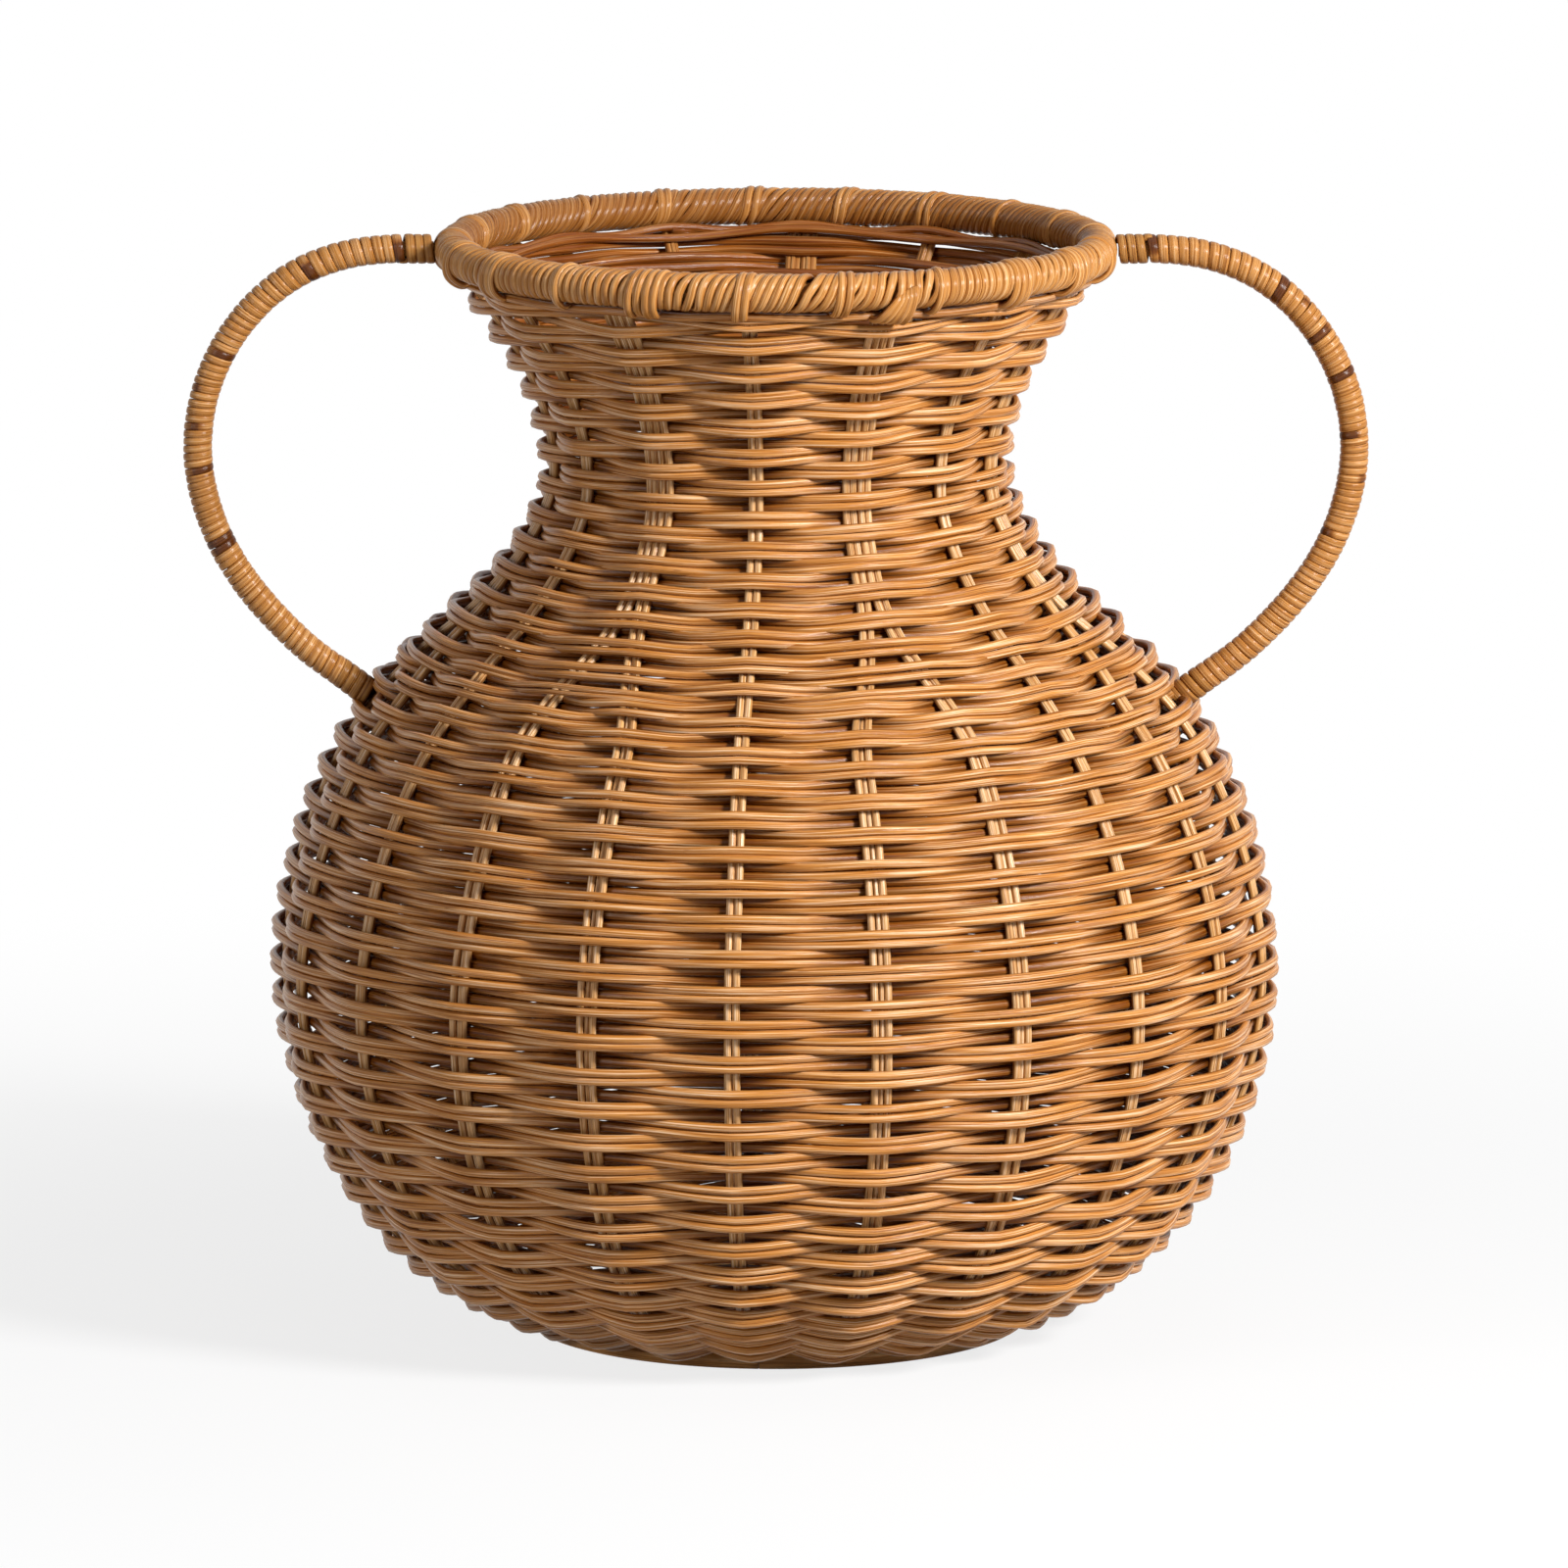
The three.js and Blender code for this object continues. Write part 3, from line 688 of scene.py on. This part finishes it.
def bent_through(points, each):
    """A smooth line through the points, as a springy rod takes it, with so many steps for each."""
    points = np.array(points)
    ends = np.vstack([2 * points[0] - points[1], points, 2 * points[-1] - points[-2]])
    line = []
    for a, b, c, d in zip(ends, ends[1:], ends[2:], ends[3:]):
        before, here, after = (math.sqrt(math.dist(p, q)) for p, q in ((a, b), (b, c), (c, d)))
        leave = ((b - a) / before - (c - a) / (before + here) + (c - b) / here) * here
        arrive = ((c - b) / here - (d - b) / (here + after) + (d - c) / after) * here
        line.extend(cubic(t, b, leave, c, arrive) for t in np.arange(each) / each)
    return np.vstack([line, points[-1]])


def over_rim(middle, slant, droop):
    """A tie's line and the way that it faces. The slant is how far it moves sideways on its way."""
    inwards, down = tie_root_shares
    route = [(rim_radius - tie_radius * inwards, rim_height - tie_radius * down)]
    for around in np.radians(tie_bends):
        reach = tie_radius + droop * max(math.sin(around), 0) * (math.cos(around) < 0)
        route.append((rim_radius - reach * math.cos(around), rim_height - reach * math.sin(around)))
    for out, up in tie_hook:
        route.append((rim_radius + out, rim_height - tie_radius - droop + up))
    route = bent_through(route, bend_steps)
    angle = middle + slant * (0.5 - np.linspace(0, 1, len(route))) / rim_radius
    line = outwards(angle) * route[:, :1]
    line[:, 2] = route[:, 1]
    facing = outwards(angle) * (route[:, :1] - rim_radius + tie_facing_inset)
    facing[:, 2] = route[:, 1] - rim_height
    return line, facing


ties = []
uneven_aside, uneven_slant, uneven_droop = tie_unevenness
for stake in range(stake_count):
    middle = stake_angle(stake, half_place)
    behind = math.cos(middle) < 0
    droop = hand.uniform(*tie_droops)
    for rod in range(tie_rods[stake]):
        aside = (rod - (tie_rods[stake] - 1) / 2) * tie_spacing + hand.normal(0, uneven_aside)
        slant = (tie_slant_behind if behind else tie_slant) + hand.normal(0, uneven_slant)
        rod_droop = droop + hand.normal(0, uneven_droop)
        line, facing = over_rim(middle + aside / rim_radius, slant, rod_droop)
        ties.append((line, facing, tie_half_thickness, tie_half_width, tie_stain_behind * behind))
lay("rim_ties", ties, wrap_rattan, squareness=wrap_squareness)

# Rim knuckle: in front, a little to the right, the end of the winding is turned down over the rim's
# outside, towards the left, and tucked in under the rim. It is five rods side by side.
knuckle_rods = 5
knuckle_half_thickness = 1.35
knuckle_half_width = 1.4
knuckle_steps = 4
# Round the rim in degrees, from its outside down and in under it, and what each next rod adds
knuckle_bends = np.array([-190, -202, -218, -236, -255, -275, -295])
knuckle_fan = np.array([6, 3, 0, 0, 0, 0, 0])
# How far out from the rim's middle, for the last rod, and how much less for each before it
knuckle_reach = np.array([6.4, 8.0, 9.3, 10.5, 11.1, 10.4, 8.4])
knuckle_nesting = 0.25
# How far to the right in degrees a rod starts and ends, and what each next rod adds
knuckle_sides = np.array([21.6, 17])
knuckle_side_steps = np.array([0.5, 1.25])
knuckle_shares = [0, 0.2, 0.45, 0.7, 0.88, 1, 1]
knuckle = []
for rod in range(knuckle_rods):
    around = np.radians(knuckle_bends + rod * knuckle_fan)
    reach = knuckle_reach - knuckle_nesting * (knuckle_rods - 1 - rod)
    side = np.interp(knuckle_shares, (0, 1), knuckle_sides + rod * knuckle_side_steps)
    points, facing = beside_rim(np.radians(side), around, reach)
    line, facing = bent_through(points, knuckle_steps), bent_through(facing, knuckle_steps)
    knuckle.append((line, facing, knuckle_half_thickness, knuckle_half_width))
lay("rim_knuckle", knuckle, wrap_rattan)

# Handles: a rod that leaves the rim, bows out and comes back in to the shoulder, wound tightly with
# one flat cane strip, wide near the rim and narrower further on. The strip has some dark patches,
# and brown cane lashes both ends.
lashing_cane = rattan(
    "lashing_cane", dark=(0.18, 0.06, 0.01), middle=(0.4, 0.17, 0.036), light=(0.58, 0.29, 0.08),
    roughness=0.42, coat=0.3,
)
handle_reach = 205.8
handle_foot = 226
handle_approach = 32
handle_rod_radius = 3
handle_tail = 4
handle_steps = 24
# How far out from the wall's middle the foot ends: the weave reaches further out on the left
handle_seats = {"left": 5.35, "right": 1.64}
handle_upper_shares = [
    (0.24, 1), (0.411, 0.988), (0.592, 0.951), (0.751, 0.886),
    (0.885, 0.791), (0.97, 0.681), (1, 0.568),
]
handle_lower_shares = [(0.953, 0.391), (0.789, 0.265), (0.499, 0.141)]
# How far the strip moves on in a turn, by the share of the handle's length from the rim down
strip_marks = [0, 0.05, 0.22, 0.32, 0.62, 0.8, 1]
strip_pitches = [3.0, 3.5, 3.9, 2.8, 2.6, 3.0, 3.4]
strip_steps = 16
# How unevenly it lies along the handle and above it, and how dark its stain is between patches
strip_slip = 0.12
strip_lift = 0.07
strip_stain = 0.14
# Where the dark patches lie, as shares of the wound length from the rim down
dark_patches = {
    "left": (0.0, 0.17, 0.37, 0.43, 0.5, 0.57, 0.7, 0.71),
    "right": (0.0, 0.23, 0.28, 0.33, 0.41, 0.5, 0.58, 0.68),
}
# In radians round the handle: a patch's place from the front, half its length, and its soft edge
patch_offsets = (-1, 1)
patch_halves = (0.4, 2.4)
patch_edge = 0.4
lashing_length = 10.8
# How far the lashings stop short of the route's two ends
lashing_start = 0.2
lashing_end = 0.5


def handle_route(side, seat):
    """A handle's middle line, from the rim to its seat at the shoulder, and a tail into the wall."""
    above_belly = slice(1 + len(foot_to_belly_shares), None)
    foot_level = np.interp(handle_foot, knots[above_belly, 1], levels[above_belly])
    foot_place, foot_normal = (value[0] for value in wall_at(np.array([foot_level])))
    start = rim_radius + rim_outer + seat_gap
    approach = foot_place + foot_normal * handle_approach
    route = bent_through([
        (start, rim_height), (start + 2 * handle_rod_radius, rim_height),
        *between((rim_radius, handle_foot), (handle_reach, rim_height), handle_upper_shares),
        *between(approach, (handle_reach, rim_height), handle_lower_shares), approach,
        foot_place + foot_normal * (seat + 2 * handle_rod_radius), foot_place + foot_normal * seat,
        foot_place + foot_normal * (seat - handle_tail),
    ], handle_steps)
    return np.stack([side * route[:, 0], 0 * route[:, 0], route[:, 1]], 1)


def wound(route, start, end, radius, half_thickness, fullness=1.0, patches=()):
    """A strip wound round a handle from one length along it to another."""
    reached = lengths_along(route)
    heading = np.gradient(route, reached, axis=0)
    whole = reached[-1] - handle_tail
    pitch = np.interp((start + end) / 2 / whole, strip_marks, strip_pitches)
    count = int((end - start) / pitch * strip_steps) + 2
    along = np.linspace(start, end, count)
    pitch = np.interp(along / whole, strip_marks, strip_pitches)
    around = np.cumsum((end - start) / (count - 1) / pitch) * turn
    dark = np.full(count, strip_stain)
    for share in patches:
        in_front = around[int(share * (count - 1))] // turn * turn + math.pi
        patch = in_front + hand.uniform(*patch_offsets)
        inside = hand.uniform(*patch_halves) - np.abs(around - patch)
        dark = np.maximum(dark, np.clip(inside / patch_edge, 0, 1))
    along = along + drift(count, strip_slip, strip_steps)
    middle = np.stack([np.interp(along, reached, route[:, k]) for k in range(3)], 1)
    ahead = unit(np.stack([np.interp(along, reached, heading[:, k]) for k in range(3)], 1))
    level_way = np.array((0, 1, 0))
    facing = level_way * np.cos(around)[:, None] + np.cross(ahead, level_way) * np.sin(around)[:, None]
    reach = radius + drift(count, strip_lift, strip_steps)
    return middle + facing * reach[:, None], facing, half_thickness, pitch / 2 * fullness, dark


for side, name in ((-1, "left"), (1, "right")):
    route = handle_route(side, handle_seats[name])
    whole = lengths_along(route)[-1] - handle_tail
    first, last = lashing_length, whole - lashing_length
    strip = wound(
        route, first, last, radius=4.4, half_thickness=0.8, fullness=1.01, patches=dark_patches[name]
    )
    piece = lay(
        f"{name}_handle_strip", [strip], wrap_rattan, sides=12, squareness=0.68
    )
    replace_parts(piece, f"{name}_handle_wrap")
    for end, start, stop in (
        ("top", lashing_start, first), ("bottom", last, whole + handle_tail - lashing_end)
    ):
        turns = [wound(route, start, stop, radius=4.5, half_thickness=0.85)]
        piece = lay(
            f"{name}_{end}_lashing_rods", turns, lashing_cane,
            sides=12, squareness=0.7,
        )
        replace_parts(piece, f"{name}_{end}_lashing")
    finish_solid(f"{name}_handle_rod", core_rattan)

# Base sticks: three stake rods laid over three, and fanned out to twelve spokes whose ends lie
# over the foot hoop, just inside the stakes.
stick_radius = 1.45
stick_gap = 0.7
sticks_each_way = 3
spoke_count = 4 * sticks_each_way
spoke_end = stake_seat[0] - seat_gap
fan_start = 22
base_height = foot_height + seat_gap + stick_radius
stick_steps = 24
stick_pitch = 2 * stick_radius + stick_gap
for way in (0, 1):
    for stick in range(sticks_each_way):
        order = stick - 1
        fan = order * turn / spoke_count
        crossing = 1.5 * stick_pitch + stick_gap
        lift = (1 if way == 0 else -1) * (stick_radius + seat_gap)
        half = [
            (spoke_end * math.cos(fan), spoke_end * math.sin(fan), base_height),
            (fan_start * math.cos(fan), fan_start * math.sin(fan), base_height),
            (crossing, order * stick_pitch, base_height + lift),
        ]
        line = bent_through(half + [(-x, y, z) for x, y, z in reversed(half)], stick_steps)
        if way == 0:
            line = np.stack([line[:, 1], -line[:, 0], line[:, 2]], 1)
        name = f"base_stick_{way * sticks_each_way + stick + 1}"
        rods = [(line, (0, 0, 1), stick_radius, stick_radius)]
        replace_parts(lay(f"{name}_rod", rods, stake_rattan), name)

# Base weavers: two strands of two rods that chase each other from the crossed sticks out to the
# foot hoop, over one spoke and under the next.
base_turns = 4
weave_inner = 24
weave_outer = foot_radius - foot_width - 0.8
base_pitch = (weave_outer - weave_inner) / (2 * base_turns + 1)
base_swing = 2.95
base_spread = 1.02
for strand in (0, 1):
    count = base_turns * spoke_count * steps_between + 1
    passed = np.arange(count) / steps_between + strand * spoke_count / 2
    angle = turn * passed / spoke_count
    radius = weave_inner + base_pitch * (2 * np.arange(count) / (count - 1) * base_turns + 0.5)
    swing = -np.cos(math.pi * (passed + strand))
    rods = []
    for way in (-1, 1):
        line = outwards(angle) * (radius + way * stick_radius * base_spread)[:, None]
        line[:, 2] = base_height + swing * base_swing + drift(count, wander_aside, wander_every)
        rods.append((line, (0, 0, 1), stick_radius, stick_radius))
    name = f"base_weaver_{strand + 1}"
    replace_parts(lay(f"{name}_rods", rods, weaver_rattan), name)

# Stage: a white floor and a white room, which the camera sees at full strength apart from the soft
# shadow under the basket. The light that they throw back on the basket is weak, as in a large room.
# The main lamp stands on the right, a weak one on the left.
floor_half = 12
# The floor's tone for what it lights and for what the camera sees
floor_tones = (0.45, 0.8)
# From one distance to the other the floor goes from nearly white to fully white
floor_fade = (0.25, 0.9)
floor_whites = (0.8, 1)
basket_middle = Vector((0, 0, 0.2))
floor_mesh = bpy.data.meshes.new("floor")
plane = bmesh.new()
bmesh.ops.create_grid(plane, x_segments=1, y_segments=1, size=floor_half)
plane.to_mesh(floor_mesh)
plane.free()
floor = bpy.data.objects.new("floor", floor_mesh)
bpy.context.scene.collection.objects.link(floor)
paper = bpy.data.materials.new("paper")
paper.use_nodes = True
floor_mesh.materials.append(paper)
world = bpy.data.worlds.new("studio")
bpy.context.scene.world = world
world.use_nodes = True


def seen(tree):
    """1 for what the camera sees, also by reflection or through glass, and 0 for lighting."""
    ray = tree.nodes.new("ShaderNodeLightPath")
    answer = ray.outputs["Is Camera Ray"]
    for other in ("Is Glossy Ray", "Is Transmission Ray"):
        either = tree.nodes.new("ShaderNodeMath")
        either.operation = "MAXIMUM"
        tree.links.new(answer, either.inputs[0])
        tree.links.new(ray.outputs[other], either.inputs[1])
        answer = either.outputs[0]
    return answer


def graded(tree, value, start, end, low, high):
    """Goes softly from low to high while the value goes from start to end."""
    node = tree.nodes.new("ShaderNodeMapRange")
    node.interpolation_type = "SMOOTHSTEP"
    for name, setting in zip(("From Min", "From Max", "To Min", "To Max"), (start, end, low, high)):
        node.inputs[name].default_value = setting
    tree.links.new(value, node.inputs["Value"])
    return node.outputs["Result"]


def whitened(tree, kind, share, plain, output):
    """Mixes pure white, by the share, into what is there already."""
    white = tree.nodes.new(kind)
    white.inputs["Color"].default_value = (1, 1, 1, 1)
    white.inputs["Strength"].default_value = 1
    choose = tree.nodes.new("ShaderNodeMixShader")
    tree.links.new(share, choose.inputs["Fac"])
    tree.links.new(plain, choose.inputs[1])
    tree.links.new(white.outputs[0], choose.inputs[2])
    tree.links.new(choose.outputs[0], output)


ground = paper.node_tree
surface = ground.nodes["Principled BSDF"]
surface.inputs["Roughness"].default_value = 0.9
ground_seen = seen(ground)
ground.links.new(graded(ground, ground_seen, 0, 1, *floor_tones), surface.inputs["Base Color"])
place = ground.nodes.new("ShaderNodeTexCoord")
away = ground.nodes.new("ShaderNodeVectorMath")
away.operation = "LENGTH"
ground.links.new(place.outputs["Object"], away.inputs[0])
portion = ground.nodes.new("ShaderNodeMath")
portion.operation = "MULTIPLY"
ground.links.new(ground_seen, portion.inputs[0])
fade = graded(ground, away.outputs["Value"], *floor_fade, *floor_whites)
ground.links.new(fade, portion.inputs[1])
whitened(
    ground, "ShaderNodeEmission", portion.outputs[0],
    surface.outputs[0], ground.nodes["Material Output"].inputs["Surface"],
)
room = world.node_tree
walls = room.nodes["Background"]
walls.inputs["Color"].default_value = (1, 1, 1, 1)
walls.inputs["Strength"].default_value = 0.06
whitened(
    room, "ShaderNodeBackground", seen(room),
    walls.outputs[0], room.nodes["World Output"].inputs["Surface"],
)


def lamp(name, place, size, power):
    """A round lamp that is aimed at the middle of the basket."""
    light = bpy.data.lights.new(name, "AREA")
    light.shape = "DISK"
    light.size = size
    light.energy = power
    holder = bpy.data.objects.new(name, light)
    bpy.context.scene.collection.objects.link(holder)
    holder.location = place
    aim = basket_middle - Vector(place)
    holder.rotation_euler = aim.to_track_quat("-Z", "Y").to_euler()


lamp("key", (1.55, -1.45, 1.35), size=0.6, power=92)
lamp("fill", (-1.9, -1.4, 0.9), size=1.0, power=14)
lamp("top", (0.2, -0.2, 1.9), size=1.2, power=3)

# Camera: a long lens in front of the basket, which looks down on it a little. Its shift is only
# what the photo's framing needs.
looks_down = 9.774
eye = bpy.data.cameras.new("camera")
eye.sensor_width = 36
eye.lens = 358.7
eye.shift_x = 0.0051
eye.shift_y = 0.0021
eye.clip_end = 50
camera = bpy.data.objects.new("camera", eye)
bpy.context.scene.collection.objects.link(camera)
camera.location = (0, -5.5, 1.1414)
camera.rotation_euler = (math.radians(90 - looks_down), 0, 0)
bpy.context.scene.camera = camera
bpy.context.scene.view_settings.view_transform = "Standard"
